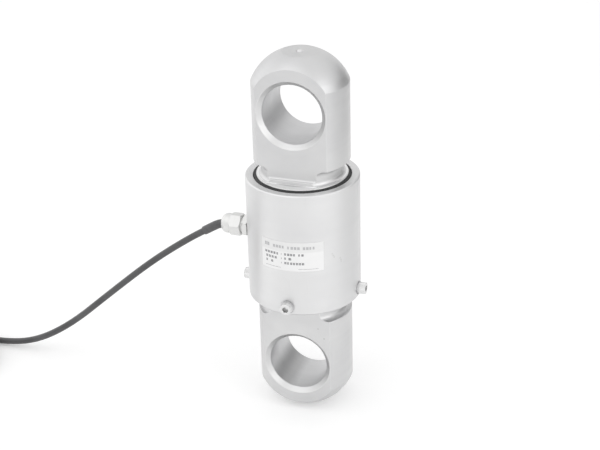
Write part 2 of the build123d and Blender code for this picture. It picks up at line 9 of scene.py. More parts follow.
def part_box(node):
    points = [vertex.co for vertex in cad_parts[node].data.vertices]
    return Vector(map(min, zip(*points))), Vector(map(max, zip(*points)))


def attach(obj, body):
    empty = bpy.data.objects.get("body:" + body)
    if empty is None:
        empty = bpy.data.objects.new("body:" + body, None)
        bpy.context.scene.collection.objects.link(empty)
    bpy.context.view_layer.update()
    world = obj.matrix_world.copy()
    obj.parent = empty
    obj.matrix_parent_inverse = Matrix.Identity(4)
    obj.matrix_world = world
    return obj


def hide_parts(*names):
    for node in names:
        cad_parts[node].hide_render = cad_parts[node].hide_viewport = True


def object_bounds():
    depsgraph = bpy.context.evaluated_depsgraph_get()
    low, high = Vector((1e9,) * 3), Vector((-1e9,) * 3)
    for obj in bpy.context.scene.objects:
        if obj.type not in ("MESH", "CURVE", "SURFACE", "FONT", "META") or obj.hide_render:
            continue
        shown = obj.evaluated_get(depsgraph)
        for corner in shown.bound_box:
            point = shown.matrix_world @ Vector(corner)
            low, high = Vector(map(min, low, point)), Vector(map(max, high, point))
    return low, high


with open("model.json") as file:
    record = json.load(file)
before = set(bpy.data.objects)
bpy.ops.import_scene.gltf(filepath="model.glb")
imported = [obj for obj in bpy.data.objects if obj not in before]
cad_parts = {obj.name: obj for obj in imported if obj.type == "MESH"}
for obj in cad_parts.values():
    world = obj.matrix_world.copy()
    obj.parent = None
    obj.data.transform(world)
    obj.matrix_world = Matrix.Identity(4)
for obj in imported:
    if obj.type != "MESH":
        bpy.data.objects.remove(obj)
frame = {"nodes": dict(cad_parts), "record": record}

cad_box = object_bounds()
nodes = frame["nodes"]
bpy.ops.object.select_all(action="DESELECT")

# Load body: one bar of alloy steel, turned all over between centres, milled flat at both eyes
# and bored for the pins. The whole bar is then given a thin, pale, satin nickel finish, through
# which the tool marks still show: rings on turned faces, arcs on the flats, rings in the bores.


def put(tree, kind, inputs=None, **settings):
    """A shader node with its settings. Each input is a value or another node's output."""
    node = tree.nodes.new("ShaderNode" + kind)
    for name, value in settings.items():
        setattr(node, name, value)
    for key, value in (inputs or {}).items():
        if isinstance(value, bpy.types.NodeSocket):
            tree.links.new(value, node.inputs[key])
        else:
            node.inputs[key].default_value = value
    return node


def calc(tree, operation, *values):
    """The output of a Math node."""
    return put(tree, "Math", dict(enumerate(values)), operation=operation).outputs[0]


def spread(tree, value, low, high, to_low=0.0, to_high=1.0):
    """A value moved from one range to another and held inside it."""
    ends = {"Value": value, "From Min": low, "From Max": high, "To Min": to_low, "To Max": to_high}
    return put(tree, "MapRange", ends).outputs[0]


def noise(tree, place, scale, detail=3.0):
    """A value that wanders softly from place to place."""
    return put(tree, "TexNoise", {"Vector": place, "Scale": scale, "Detail": detail}).outputs[0]


def distance(tree, first, second):
    """How far a point lies from an axis, from its two measures square to that axis."""
    squares = [calc(tree, "MULTIPLY", measure, measure) for measure in (first, second)]
    return calc(tree, "SQRT", calc(tree, "ADD", *squares))


def choose(tree, share, first, second):
    """One value or another, by a mask."""
    return put(tree, "Mix", {0: share, 2: first, 3: second}).outputs[0]


def add_up(tree, total, *parts):
    """A value with a share of each mask added."""
    for mask, share in parts:
        total = calc(tree, "ADD", total, calc(tree, "MULTIPLY", mask, share))
    return total


def tint(tree, share, first, second):
    """A colour between two others, each of them a plain colour or another node's output."""
    ends = [end if isinstance(end, bpy.types.NodeSocket) else (*end, 1) for end in (first, second)]
    return put(tree, "Mix", {0: share, 6: ends[0], 7: ends[1]}, data_type="RGBA").outputs[2]


def stain(tree, colour, mask, share, other):
    """A colour turned a share of the way to another, where a mask says so."""
    return tint(tree, calc(tree, "MULTIPLY", mask, share), colour, other)


def effect(name, inputs, outputs):
    """An empty node group with its named sockets, and its two end nodes."""
    tree = bpy.data.node_groups.new(name, "ShaderNodeTree")
    for label, kind in inputs.items():
        tree.interface.new_socket(label, in_out="INPUT", socket_type="NodeSocket" + kind)
    for label, kind in outputs.items():
        tree.interface.new_socket(label, in_out="OUTPUT", socket_type="NodeSocket" + kind)
    return tree, tree.nodes.new("NodeGroupInput").outputs, tree.nodes.new("NodeGroupOutput").inputs


def use(tree, group, **inputs):
    """The outputs of a node group placed in a material."""
    return put(tree, "Group", inputs, node_tree=group).outputs


def finish_of(name, **constants):
    """A new material: its tree, its shader and its coordinates. An underscore stands for a space."""
    material = bpy.data.materials.new(name)
    material.use_nodes = True
    tree = material.node_tree
    shader = tree.nodes["Principled BSDF"]
    for label, value in constants.items():
        shader.inputs[label.replace("_", " ")].default_value = value
    where = put(tree, "TexCoord").outputs
    return material, tree, shader, where


def connect(tree, shader, colour, roughness, normal=None):
    """Feeds a shader's colour, its roughness and, on a surface with relief, its normal."""
    for label, source in (("Base Color", colour), ("Roughness", roughness), ("Normal", normal)):
        if source is not None:
            tree.links.new(source, shader.inputs[label])


def relief(tree, height, depth, strength, normal=None):
    """Normal of a bumped surface."""
    inputs = {"Height": height, "Distance": depth, "Strength": strength}
    if normal is not None:
        inputs["Normal"] = normal
    return put(tree, "Bump", inputs).outputs[0]


def dress(name, material):
    """Gives a carried-over node its finish."""
    nodes[name].material_slots[0].material = material


# The range that a noise mostly keeps to
noise_low = 0.3
noise_high = 0.7

# Marks of a lathe tool or a cutter: fine uneven lines, and a slower rise and fall
slow_share = 0.06
tool_lines, given, out = effect(
    "tool_lines", {"Along": "Float", "Pitch": "Float"}, {"Height": "Float", "Sheen": "Float"}
)
steps = calc(tool_lines, "DIVIDE", given["Along"], given["Pitch"])
line = put(tool_lines, "TexNoise", {"W": steps, "Scale": 1.0, "Detail": 3.0}, noise_dimensions="1D")
slow_steps = calc(tool_lines, "MULTIPLY", steps, slow_share)
slow = put(tool_lines, "TexNoise", {"W": slow_steps, "Scale": 1.0, "Detail": 2.0}, noise_dimensions="1D")
tool_lines.links.new(line.outputs[0], out["Height"])
tool_lines.links.new(spread(tool_lines, slow.outputs[0], noise_low, noise_high), out["Sheen"])

# What handling leaves: wide soft smudges, sparse specks and a few short scratches
speck_share = 0.035
scratch_slant = (0.4, 0.9, 0.2)
scratch_stretch = (420.0, 420.0, 22.0)
handling, given, out = effect(
    "handling", {"Place": "Vector"}, {"Smudge": "Float", "Speck": "Float", "Scratch": "Float"}
)
cloud = noise(handling, given["Place"], 22.0, 4.0)
handling.links.new(spread(handling, cloud, 0.32, 0.68), out["Smudge"])
dots = put(handling, "TexVoronoi", {"Vector": given["Place"], "Scale": 110.0, "Randomness": 1.0})
chance = put(handling, "SeparateColor", {"Color": dots.outputs["Color"]}).outputs[0]
near = spread(handling, dots.outputs["Distance"], 0.05, 0.1, 1.0, 0.0)
rare = calc(handling, "LESS_THAN", chance, speck_share)
handling.links.new(calc(handling, "MULTIPLY", near, rare), out["Speck"])
long_way = put(
    handling, "Mapping",
    {"Vector": given["Place"], "Rotation": scratch_slant, "Scale": scratch_stretch},
)
thin = spread(handling, noise(handling, long_way.outputs[0], 1.0, 1.0), 0.71, 0.75)
worn = spread(handling, noise(handling, given["Place"], 30.0, 1.0), 0.55, 0.66)
handling.links.new(calc(handling, "MULTIPLY", thin, worn), out["Scratch"])

# Edges: rounded a little, and made brighter: partly polish where a hand or a carton has rubbed them,
# partly a painted highlight
edge_wear_and_highlight, given, out = effect(
    "edge_wear_and_highlight", {"Radius": "Float"}, {"Normal": "Vector", "Edge": "Float"}
)
rounded = put(edge_wear_and_highlight, "Bevel", {"Radius": given["Radius"]}, samples=6).outputs[0]
plain = put(edge_wear_and_highlight, "NewGeometry").outputs["Normal"]
agree = put(edge_wear_and_highlight, "VectorMath", {0: rounded, 1: plain}, operation="DOT_PRODUCT")
edge_wear_and_highlight.links.new(rounded, out["Normal"])
edge_wear_and_highlight.links.new(spread(edge_wear_and_highlight, agree.outputs["Value"], 0.995, 0.9), out["Edge"])

# Marks of use that lie at one spot: a ragged dark fleck round a centre
fleck, given, out = effect(
    "fleck", {"Place": "Vector", "Centre": "Vector", "Size": "Float"}, {"Mark": "Float"}
)
far = put(fleck, "VectorMath", {0: given["Place"], 1: given["Centre"]}, operation="DISTANCE")
far = calc(fleck, "DIVIDE", far.outputs["Value"], given["Size"])
ragged = noise(fleck, given["Place"], 900.0, 2.0)
far = calc(fleck, "ADD", far, calc(fleck, "SUBTRACT", ragged, 0.5))
fleck.links.new(spread(fleck, far, 0.5, 1.1, 1.0, 0.0), out["Mark"])


def with_flecks(tree, where, marks, flecks):
    """Marks of use with flecks added, each at its own place and of its own size."""
    for centre, size in flecks:
        mark = use(tree, fleck, Place=where["Object"], Centre=centre, Size=size)["Mark"]
        marks = calc(tree, "MAXIMUM", marks, mark)
    return marks


# Where its faces lie: the two eyes mirror each other, so the pins' height counts from the middle
middle_height = (cad_box[0].z + cad_box[1].z) / 2
pin_height = frame["record"]["mounts"][0]["pos_m"][2] - middle_height
milled_facing = 0.97
flat_reach = 0.0262
chamfer_reach = 0.0252
bore_reach = 0.0222
seal_drop = 0.00065
collar_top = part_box("upper_seal_ring")[1].z + seal_drop
collar_band = 0.0003
collar_reach = 0.0275

# Marks of the tools, and how much each thing roughens the finish or polishes it
turned_pitch = 0.00032
bored_pitch = 0.00025
milled_pitch = 0.00045
cutter_radius = 0.040
tool_depth = 0.000012
tool_strength = 0.5
bar_edge_radius = 0.0008
bar_rough = 0.34
sheen_rough = 0.08
wall_rough = 0.08
smudge_rough = 0.06
edge_polish = 0.08

# Colours, with painted light on the chamfers, the walls of the bores, the collar ring and the edges, the
# flecks on the lower flat, and painted shade on the wall of the lower bore
bar_pale = (0.68, 0.68, 0.68)
bar_deep = (0.62, 0.62, 0.625)
bore_wall_light_share = 1.13
chamfer_painted_highlight = (0.70, 0.70, 0.70)
collar_painted_highlight = (0.88, 0.88, 0.88)
edge_wear_highlight_colour = (0.80, 0.80, 0.80)
bar_edge_highlight_share = 0.35
fleck_dark = (0.25, 0.24, 0.23)
fleck_share = 0.35
flat_flecks = [((0.0167, -0.0232, 0.0717), 0.0007), ((0.0211, -0.0232, 0.0640), 0.0008)]
lower_bore_painted_shade = (0.30, 0.30, 0.30)
lower_bore_shade_share = 0.36
bore_shade_side = 0.0105
bore_shade_waver = 0.004
bore_shade_edge = 0.010
bore_shade_heart = 0.004
bore_shade_top = 0.006
bore_shade_full = 0.013

bar_steel, tree, shader, where = finish_of("bar_satin_nickel", Metallic=1.0)
x, y, z = put(tree, "SeparateXYZ", {0: where["Object"]}).outputs
rise = calc(tree, "ABSOLUTE", calc(tree, "SUBTRACT", z, middle_height))
deep_y = calc(tree, "ABSOLUTE", y)
from_axis = distance(tree, x, y)
from_pin = distance(tree, x, calc(tree, "SUBTRACT", rise, pin_height))
facing = put(tree, "SeparateXYZ", {0: where["Normal"]}).outputs[1]
faces_front = calc(tree, "GREATER_THAN", calc(tree, "ABSOLUTE", facing), milled_facing)
in_bore = calc(tree, "LESS_THAN", from_pin, chamfer_reach)
on_wall = calc(tree, "LESS_THAN", from_pin, bore_reach)
on_flat = calc(tree, "MULTIPLY", faces_front, calc(tree, "LESS_THAN", deep_y, flat_reach))
on_flat = calc(tree, "MULTIPLY", on_flat, calc(tree, "SUBTRACT", 1.0, in_bore))
turned = use(tree, tool_lines, Along=calc(tree, "SUBTRACT", rise, from_axis), Pitch=turned_pitch)
bored = use(tree, tool_lines, Along=calc(tree, "ADD", deep_y, from_pin), Pitch=bored_pitch)
arc = calc(tree, "SQRT", calc(tree, "SUBTRACT", cutter_radius ** 2, calc(tree, "MULTIPLY", x, x)))
milled = use(tree, tool_lines, Along=calc(tree, "ADD", z, arc), Pitch=milled_pitch)
tooled = {}
for label in ("Height", "Sheen"):
    round_work = choose(tree, in_bore, turned[label], bored[label])
    tooled[label] = choose(tree, on_flat, round_work, milled[label])
hand = use(tree, handling, Place=where["Object"])
edge = use(tree, edge_wear_and_highlight, Radius=bar_edge_radius)
colour = tint(tree, hand["Smudge"], bar_pale, bar_deep)
# Painted highlight: the chamfers of the pin bores are lightened to stand in for their bright reflections
colour = tint(tree, in_bore, colour, chamfer_painted_highlight)
# Painted light: the bore walls are lightened against the shade inside the bores
colour = tint(tree, on_wall, colour, [bore_wall_light_share * part for part in bar_deep])
# Painted shade: a band down the left of the lower bore's wall, darker towards its bottom, with a
# wavering edge
waver = calc(tree, "MULTIPLY", noise(tree, where["Object"], 120.0), bore_shade_waver)
from_bore_shade = calc(tree, "ADD", calc(tree, "ADD", x, bore_shade_side), waver)
bore_shade = spread(tree, calc(tree, "ABSOLUTE", from_bore_shade), bore_shade_edge, bore_shade_heart)
bore_shade = calc(tree, "MULTIPLY", bore_shade, on_wall)
low_axis = middle_height - pin_height
bore_shade = calc(tree, "MULTIPLY", bore_shade, spread(tree, z, low_axis - bore_shade_top, low_axis - bore_shade_full))
colour = stain(tree, colour, bore_shade, lower_bore_shade_share, lower_bore_painted_shade)
# Painted highlight: the top of the upper collar, round the seal, is lightened to stand in for a
# reflection
off_collar = calc(tree, "ABSOLUTE", calc(tree, "SUBTRACT", z, collar_top))
on_collar = calc(tree, "LESS_THAN", off_collar, collar_band)
on_collar = calc(tree, "MULTIPLY", on_collar, calc(tree, "GREATER_THAN", from_axis, collar_reach))
colour = tint(tree, on_collar, colour, collar_painted_highlight)
# Brighter edges: partly rubbed wear, partly a painted highlight
colour = stain(tree, colour, edge["Edge"], bar_edge_highlight_share, edge_wear_highlight_colour)
flecks = with_flecks(tree, where, hand["Speck"], flat_flecks)
colour = stain(tree, colour, flecks, fleck_share, fleck_dark)
rough = add_up(
    tree, bar_rough, (tooled["Sheen"], sheen_rough), (on_wall, wall_rough),
    (hand["Smudge"], smudge_rough), (edge["Edge"], -edge_polish),
)
bump = relief(tree, tooled["Height"], tool_depth, tool_strength, edge["Normal"])
connect(tree, shader, colour, rough, bump)
dress("load_body", bar_steel)

# Seals: a lipped ring of black rubber in the gap above, pressed in with its rib in a groove,
# and an O-ring in the lower collar. Both are moulded, matt, and a little dusty in their pores.

rubber_black = (0.022, 0.022, 0.023)
rubber_dusty = (0.05, 0.05, 0.052)


def satin(tree, grain, low, high):
    """A roughness between two values, by a grain."""
    return spread(tree, grain, noise_low, noise_high, low, high)


black_rubber, tree, shader, where = finish_of("black_rubber", Metallic=0.0, IOR=1.5)
pores = noise(tree, where["Object"], 2600.0)
dusty = spread(tree, noise(tree, where["Object"], 90.0), 0.45, 0.75)
connect(
    tree, shader,
    tint(tree, dusty, rubber_black, rubber_dusty),
    satin(tree, pores, 0.5, 0.75),
    relief(tree, pores, depth=0.00004, strength=0.5),
)
for name in ("upper_seal_ring", "lower_o_ring", "gland_seal"):
    dress(name, black_rubber)

# Protective sleeve: a length of thick steel tube, turned outside and in, chamfered at both ends
# and satin finished like the bar. It slides down over the upper eye on to the lower collar.

sleeve_pale = (0.74, 0.74, 0.74)
sleeve_deep = (0.70, 0.70, 0.705)
sleeve_pitch = 0.0004
sleeve_rough = 0.36
sleeve_edge_radius = 0.0004
sleeve_edge_highlight_share = 0.1
scratch_share = 0.6
mark_dark = (0.4, 0.39, 0.38)
mark_share = 0.25
sleeve_flecks = [
    ((0.0299, -0.0281, 0.1375), 0.0008),
    ((0.0305, -0.0274, 0.1360), 0.0009),
    ((0.0311, -0.0268, 0.1345), 0.0008),
    ((0.0341, -0.0228, 0.1323), 0.0008),
    ((0.0345, -0.0222, 0.1306), 0.0009),
    ((0.0346, -0.0220, 0.1293), 0.0007),
]

sleeve_steel, tree, shader, where = finish_of("sleeve_satin_nickel", Metallic=1.0)
x, y, z = put(tree, "SeparateXYZ", {0: where["Object"]}).outputs
from_axis = distance(tree, x, y)
rise = calc(tree, "ABSOLUTE", calc(tree, "SUBTRACT", z, middle_height))
turned = use(tree, tool_lines, Along=calc(tree, "SUBTRACT", rise, from_axis), Pitch=sleeve_pitch)
hand = use(tree, handling, Place=where["Object"])
edge = use(tree, edge_wear_and_highlight, Radius=sleeve_edge_radius)
colour = tint(tree, hand["Smudge"], sleeve_pale, sleeve_deep)
marks = calc(tree, "MAXIMUM", hand["Speck"], calc(tree, "MULTIPLY", hand["Scratch"], scratch_share))
marks = with_flecks(tree, where, marks, sleeve_flecks)
colour = stain(tree, colour, marks, mark_share, mark_dark)
# Brighter edges: partly rubbed wear, partly a painted highlight
colour = stain(tree, colour, edge["Edge"], sleeve_edge_highlight_share, edge_wear_highlight_colour)
rough = add_up(tree, sleeve_rough, (turned["Sheen"], sheen_rough), (hand["Smudge"], smudge_rough))
bump = relief(tree, turned["Height"], tool_depth, tool_strength, edge["Normal"])
connect(tree, shader, colour, rough, bump)
dress("protective_sleeve", sleeve_steel)

# Inside, out of sight: foil gauges under soft covers on the flats of the waist, a terminal board
# with trim resistors, the bridge loom and the stripped cores of the cable. The gland holds its
# own two hidden pieces, a cage of moulded nylon and an insert of soft rubber.

# Each finish: its two colours, its roughness and the scale of its grain
inside = {
    "gauge_film": ((0.50, 0.24, 0.05), (0.42, 0.18, 0.03), 0.35, 700.0),
    "gauge_cover": ((0.62, 0.60, 0.55), (0.52, 0.50, 0.46), 0.5, 300.0),
    "board_green": ((0.03, 0.16, 0.07), (0.02, 0.10, 0.05), 0.4, 900.0),
    "resistor_dark": ((0.03, 0.03, 0.035), (0.08, 0.08, 0.09), 0.45, 1500.0),
    "loom_varnish": ((0.35, 0.08, 0.03), (0.22, 0.05, 0.02), 0.35, 900.0),
    "core_plastic": ((0.60, 0.58, 0.52), (0.50, 0.47, 0.42), 0.45, 900.0),
    "cage_nylon": ((0.70, 0.70, 0.68), (0.60, 0.60, 0.58), 0.45, 900.0),
    "insert_rubber": ((0.10, 0.10, 0.105), (0.15, 0.15, 0.155), 0.6, 1200.0),
}
rough_range = 0.12
soft_finish = {}
for name, (first, second, roughness, scale) in inside.items():
    soft_finish[name], tree, shader, where = finish_of(name, Metallic=0.0)
    grain = noise(tree, where["Object"], scale, 4.0)
    connect(
        tree, shader,
        tint(tree, spread(tree, grain, 0.35, 0.65), first, second),
        satin(tree, grain, roughness, roughness + rough_range),
        relief(tree, grain, depth=0.00003, strength=0.3),
    )
for side in ("front", "rear", "left", "right"):
    dress(side + "_gauge", soft_finish["gauge_film"])
    dress(side + "_gauge_cover", soft_finish["gauge_cover"])
dress("terminal_board", soft_finish["board_green"])
dress("trim_resistors", soft_finish["resistor_dark"])
dress("bridge_loom", soft_finish["loom_varnish"])
dress("inner_cores", soft_finish["core_plastic"])
dress("gland_cage", soft_finish["cage_nylon"])
dress("gland_insert", soft_finish["insert_rubber"])

# Sleeve screws: four M5 socket head screws of zinc plated steel, their heads knurled for the
# fingers, each drawn down on a split spring washer. Head, socket and thread are one piece.

screws_low, screws_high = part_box("sleeve_screws")
screw_axis_height = (screws_low.z + screws_high.z) / 2
screw_count = 4
head_radius = 0.00425
head_height = 0.005
head_rim = 0.0004
knurl_count = 40
knurl_depth = 0.00022
socket_across_flats = 0.004
socket_corner = socket_across_flats / math.sqrt(3)
socket_depth = 0.0026
countersink_tip = 0.0004
countersink_mouth = socket_across_flats * 0.66
countersink_height = 0.0022
countersink_drop = 0.0008
screw_length = 0.016
screw_thread_radius = 0.0025
screw_pitch = 0.0008
thread_depth = 0.54 * screw_pitch
thread_from_tip = 0.0006
thread_from_head = 0.0012
tip_bevel = 0.0005
ridge_share = 0.56
ridge_facets = 40
nearly = 0.99
merge_gap = 1e-6
screw_crease = 28
plating_depth = 0.00001
grain_depth = 0.00002
first_turn = 0.35
next_turn = 1.3


def select_only(piece):
    """Selects one piece and nothing else."""
    bpy.ops.object.select_all(action="DESELECT")
    piece.select_set(True)
    bpy.context.view_layer.objects.active = piece


def pick(kind, test):
    """In edit mode, selects the vertices, edges or faces that pass a test."""
    bpy.ops.mesh.select_mode(type={"verts": "VERT", "edges": "EDGE", "faces": "FACE"}[kind])
    bpy.ops.mesh.select_all(action="DESELECT")
    mesh = bmesh.from_edit_mesh(bpy.context.active_object.data)
    for item in getattr(mesh, kind):
        if test(item):
            item.select_set(True)
    mesh.select_flush_mode()
    bmesh.update_edit_mesh(bpy.context.active_object.data)


def apply_all(piece):
    """Applies every modifier of a piece in turn."""
    select_only(piece)
    for modifier in list(piece.modifiers):
        bpy.ops.object.modifier_apply(modifier=modifier.name)


def carve(piece, tool):
    """Cuts a tool out of a piece, and removes the tool."""
    cut = piece.modifiers.new("cut", "BOOLEAN")
    cut.object = tool
    cut.operation = "DIFFERENCE"
    cut.solver = "EXACT"
    apply_all(piece)
    bpy.data.objects.remove(tool)


def settle(piece, place=Matrix()):
    """Moves a finished piece to its place, in its mesh, and leaves its object at the origin."""
    piece.data.transform(place @ piece.matrix_basis)
    piece.matrix_basis = Matrix()


def blank(size=(1, 1, 1)):
    """The primitive just added, scaled, with its size and place in its mesh."""
    piece = bpy.context.active_object
    piece.scale = size
    settle(piece)
    return piece


def join(piece, *others):
    """Makes one piece of several."""
    select_only(piece)
    for other in others:
        other.select_set(True)
    bpy.ops.object.join()


def smooth(piece, crease):
    """Shades a piece smooth between edges sharper than a crease, in degrees."""
    select_only(piece)
    bpy.ops.object.shade_smooth_by_angle(angle=math.radians(crease))


def coat(piece, *materials):
    """Gives a new piece its finishes."""
    piece.data.materials.clear()
    for material in materials:
        piece.data.materials.append(material)


def twin_of(piece):
    """A copy of a piece, with a mesh or curve of its own."""
    twin = piece.copy()
    twin.data = piece.data.copy()
    bpy.context.collection.objects.link(twin)
    return twin


def thread_ridge(radius, pitch, low, high):
    """A helical ridge of 60 degree section, from one height to another."""
    size = pitch * ridge_share
    bpy.ops.mesh.primitive_circle_add(
        vertices=3, radius=size, location=(radius - size / 2, 0, low), rotation=(math.pi / 2, 0, 0)
    )
    ridge = bpy.context.active_object
    bpy.ops.object.transform_apply(location=False, rotation=True)
    bpy.ops.object.mode_set(mode="EDIT")
    bpy.ops.mesh.select_all(action="SELECT")
    bpy.ops.transform.rotate(value=-math.pi / 2, orient_axis="Y", center_override=ridge.location)
    bpy.ops.object.mode_set(mode="OBJECT")
    settle(ridge)
    sweep = ridge.modifiers.new("sweep", "SCREW")
    sweep.axis = "Z"
    sweep.screw_offset = pitch
    sweep.iterations = max(1, round((high - low) / pitch))
    sweep.steps = ridge_facets
    apply_all(ridge)
    bpy.ops.object.mode_set(mode="EDIT")
    bpy.ops.mesh.select_all(action="SELECT")
    bpy.ops.mesh.remove_doubles(threshold=merge_gap)
    bpy.ops.mesh.fill_holes(sides=4)
    bpy.ops.mesh.normals_make_consistent(inside=False)
    bpy.ops.object.mode_set(mode="OBJECT")
    return ridge


def plated(name, scale, plain, edge_wear_highlight, roughness, edge_radius, strength):
    """Finish of a small plated steel part: a fine grain, and edges made brighter, partly rubbed wear and
    partly a painted highlight.
    """
    material, tree, shader, where = finish_of(name, Metallic=1.0)
    grain = noise(tree, where["Object"], scale)
    edge = use(tree, edge_wear_and_highlight, Radius=edge_radius)
    # Brighter edges: partly rubbed wear, partly a painted highlight
    colour = tint(tree, edge["Edge"], plain, edge_wear_highlight)
    bump = relief(tree, grain, plating_depth, strength, edge["Normal"])
    connect(tree, shader, colour, satin(tree, grain, *roughness), bump)
    return material


def grained(name, scale, first, second, roughness, strength=None, **constants):
    """Finish whose colour, roughness and surface, if it has a strength, follow one fine grain."""
    material, tree, shader, where = finish_of(name, **constants)
    grain = noise(tree, where["Object"], scale)
    bump = relief(tree, grain, grain_depth, strength) if strength else None
    connect(tree, shader, tint(tree, grain, first, second), satin(tree, grain, *roughness), bump)
    return material


bpy.ops.mesh.primitive_cylinder_add(
    vertices=2 * knurl_count, radius=head_radius, depth=head_height, location=(0, 0, head_height / 2)
)
screw = blank()
select_only(screw)
bpy.ops.object.mode_set(mode="EDIT")
knurl_step = math.pi / knurl_count
pick("verts", lambda v: round(math.atan2(v.co.y, v.co.x) / knurl_step) % 2 == 0)
share = 1 - knurl_depth / head_radius
bpy.ops.transform.resize(value=(share, share, 1), center_override=(0, 0, 0))
pick("edges", lambda e: all(v.co.z > head_height * nearly for v in e.verts))
bpy.ops.mesh.bevel(offset=head_rim, segments=3, affect="EDGES")
bpy.ops.object.mode_set(mode="OBJECT")
bpy.ops.mesh.primitive_cylinder_add(
    vertices=6, radius=socket_corner, depth=2 * socket_depth, location=(0, 0, head_height)
)
carve(screw, blank())
bpy.ops.mesh.primitive_cone_add(
    vertices=48, radius1=countersink_tip, radius2=countersink_mouth,
    depth=countersink_height, location=(0, 0, head_height - countersink_drop),
)
carve(screw, blank())
bpy.ops.mesh.primitive_cylinder_add(
    vertices=40, radius=screw_thread_radius - thread_depth, depth=screw_length,
    location=(0, 0, -screw_length / 2),
)
shank = blank()
select_only(shank)
bpy.ops.object.mode_set(mode="EDIT")
pick("edges", lambda e: all(v.co.z < -screw_length * nearly for v in e.verts))
bpy.ops.mesh.bevel(offset=tip_bevel, segments=2, affect="EDGES")
bpy.ops.object.mode_set(mode="OBJECT")
thread_low = thread_from_tip - screw_length
join(screw, shank, thread_ridge(screw_thread_radius, screw_pitch, thread_low, -thread_from_head))
smooth(screw, screw_crease)

zinc = plated(
    "zinc_plated_screw", scale=1800.0, plain=(0.74, 0.74, 0.74), edge_wear_highlight=(0.90, 0.90, 0.90),
    roughness=(0.24, 0.36), edge_radius=0.00015, strength=0.3,
)
# Painted shade: the side walls of the hex socket take a darker finish
socket_shade_finish = grained(
    "socket_wall_painted_shade", scale=1600.0, first=(0.30, 0.30, 0.30), second=(0.48, 0.475, 0.47),
    roughness=(0.35, 0.55), Metallic=1.0,
)
coat(screw, zinc, socket_shade_finish)
# The socket's side walls take the painted shade
for face in screw.data.polygons:
    upright = abs(face.normal.z) < 0.3
    above_floor = face.center.z > head_height - socket_depth / nearly
    if upright and above_floor and face.center.xy.length < socket_corner:
        face.material_index = 1

screws = [screw] + [twin_of(screw) for turn in range(1, screw_count)]
for turn, piece in enumerate(screws):
    piece.name = f"sleeve_screw_{turn + 1}"
    spun = Matrix.Rotation(first_turn + next_turn * turn, 4, "Z")
    lay_down = Matrix.Rotation(math.pi / 2, 4, "Y") @ spun
    out_to = Matrix.Translation((screws_high.x - head_height, 0, screw_axis_height))
    settle(piece, Matrix.Rotation(turn * math.tau / screw_count, 4, "Z") @ out_to @ lay_down)
    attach(piece, "root")
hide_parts("sleeve_screws")

spring_steel = plated(
    "spring_washer_steel", scale=1500.0, plain=(0.62, 0.62, 0.625), edge_wear_highlight=(0.80, 0.80, 0.80),
    roughness=(0.3, 0.45), edge_radius=0.00012, strength=0.4,
)
dress("spring_washers", spring_steel)

# Cable gland: nickel plated brass, in two screwed pieces with a flat seal under the hexagon.
# The thread of the body shows in the gap before the nut, so it is cut here in a copy of it.

brass_pale = (0.775, 0.775, 0.768)
brass_deep = (0.725, 0.725, 0.718)
brass_rough = 0.46
brass_pitch = 0.00018
brass_depth = 0.000008
brass_strength = 0.4
brass_edge_radius = 0.0003

nickel, tree, shader, where = finish_of("nickel_plated_brass", Metallic=1.0)
along = put(tree, "SeparateXYZ", {0: where["Object"]}).outputs[0]
lines = use(tree, tool_lines, Along=along, Pitch=brass_pitch)
hand = use(tree, handling, Place=where["Object"])
edge = use(tree, edge_wear_and_highlight, Radius=brass_edge_radius)
colour = tint(tree, hand["Smudge"], brass_pale, brass_deep)
rough = add_up(tree, brass_rough, (lines["Sheen"], sheen_rough))
bump = relief(tree, lines["Height"], brass_depth, brass_strength, edge["Normal"])
connect(tree, shader, colour, rough, bump)

nut_low, nut_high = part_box("gland_dome_nut")
gland_axis_height = (nut_low.z + nut_high.z) / 2
seat_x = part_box("gland_seal")[0].x
hex_height = 0.004
gland_thread_radius = 0.006
gland_thread_length = 0.0110
gland_pitch = 0.0015
groove_reach = 0.00085
groove_gap = 0.0003
seam_gap = 2e-6
gland_crease = 32

select_only(nodes["gland_body"])
bpy.ops.object.duplicate()
gland_body = bpy.context.active_object
for key in list(gland_body.keys()):
    del gland_body[key]
gland_body.parent = None
gland_body.name = "gland_body_threaded"
bpy.ops.object.mode_set(mode="EDIT")
bpy.ops.mesh.select_all(action="SELECT")
bpy.ops.mesh.remove_doubles(threshold=seam_gap)
bpy.ops.mesh.customdata_custom_splitnormals_clear()
bpy.ops.mesh.normals_make_consistent(inside=False)
bpy.ops.object.mode_set(mode="OBJECT")
groove = thread_ridge(gland_thread_radius + groove_reach, gland_pitch, 0.0, gland_thread_length)
settle(groove, Matrix.Translation((0, 0, hex_height + groove_gap)))
towards_cable = Matrix.Rotation(-math.pi / 2, 4, "Y")
settle(groove, Matrix.Translation((seat_x, 0, gland_axis_height)) @ towards_cable)
carve(gland_body, groove)
smooth(gland_body, gland_crease)
coat(gland_body, nickel)
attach(gland_body, "root")
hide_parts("gland_body")
dress("gland_dome_nut", nickel)

# Rating plate: a foil label stuck round the sleeve, with a pale grey band along its top. Its
# print is generic: a row of bars on the band, three rows of a name and a value, and two rules.

plate_low, plate_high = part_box("rating_plate")
plate_middle = (plate_low.z + plate_high.z) / 2
plate_turn = math.radians(5.0)
sleeve_radius = 0.041
foil_thickness = 0.00025
plate_radius = sleeve_radius + foil_thickness
band_rise = 0.0036
band_low = plate_middle + band_rise
band_blur = 0.0002
paper_pale = (0.97, 0.97, 0.97)
paper_deep = (0.95, 0.95, 0.95)
band_grey = (0.895, 0.895, 0.895)
ink_dark = (0.20, 0.20, 0.21)
ink_faded = (0.58, 0.58, 0.59)
ink_on_band = (0.56, 0.56, 0.57)
ink_lift = 0.00002
ink_thickness = 0.000015
bar_facet = 0.0015
millimetre = 0.001

